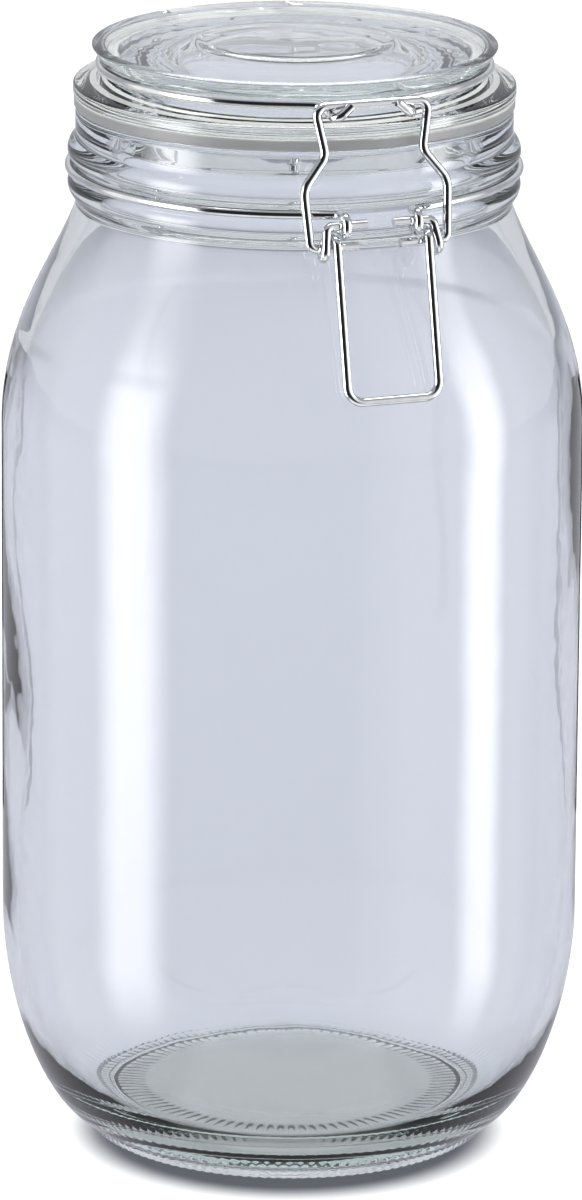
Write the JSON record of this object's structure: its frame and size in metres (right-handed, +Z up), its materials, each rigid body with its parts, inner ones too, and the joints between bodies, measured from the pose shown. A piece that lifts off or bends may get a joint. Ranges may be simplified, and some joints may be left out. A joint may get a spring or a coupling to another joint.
{
  "type": "clip-top storage jar",
  "caption": "Tall round glass storage jar with a hinged glass lid on a rubber seal, held shut by a bent-wire lever clasp.",
  "frame": {"origin": "centre of the base, on the surface that the jar stands on", "axes": "+Z up through the lid, clasp at -Y, lid hinge at +Y, all pivots along X"},
  "size_m": [0.127, 0.127, 0.245],
  "materials": {
    "clear_glass": "clear pressed glass, faintly green where thick",
    "seal_rubber": "translucent off-white, matte",
    "bright_wire": "bright zinc-plated round wire"
  },
  "bodies": {
    "jar": {"jar_glass": "clear_glass", "neck_wire": "bright_wire"},
    "lid": {"lid_glass": "clear_glass", "sealing_ring": "seal_rubber", "lid_wire": "bright_wire"},
    "lever": {"bail_lever": "bright_wire"},
    "link": {"bail_link": "bright_wire"}
  },
  "joints": [
    {"name": "lid_hinge", "type": "hinge", "parent": "jar", "child": "lid", "pos_m": [0, 0.0525, 0.236], "axis": [-1, 0, 0], "range_deg": [0, 180]},
    {"name": "lever_pivot", "type": "hinge", "parent": "jar", "child": "lever", "pos_m": [0, -0.0523, 0.2156], "axis": [-1, 0, 0], "range_deg": [0, 88]},
    {"name": "link_pivot", "type": "hinge", "parent": "lever", "child": "link", "pos_m": [0, -0.0519, 0.2109], "axis": [1, 0, 0], "range_deg": [0, 162.8]}
  ],
  "couplings": [
    {"joint": "link_pivot", "follows": "lever_pivot", "ratio": 1.85}
  ]
}
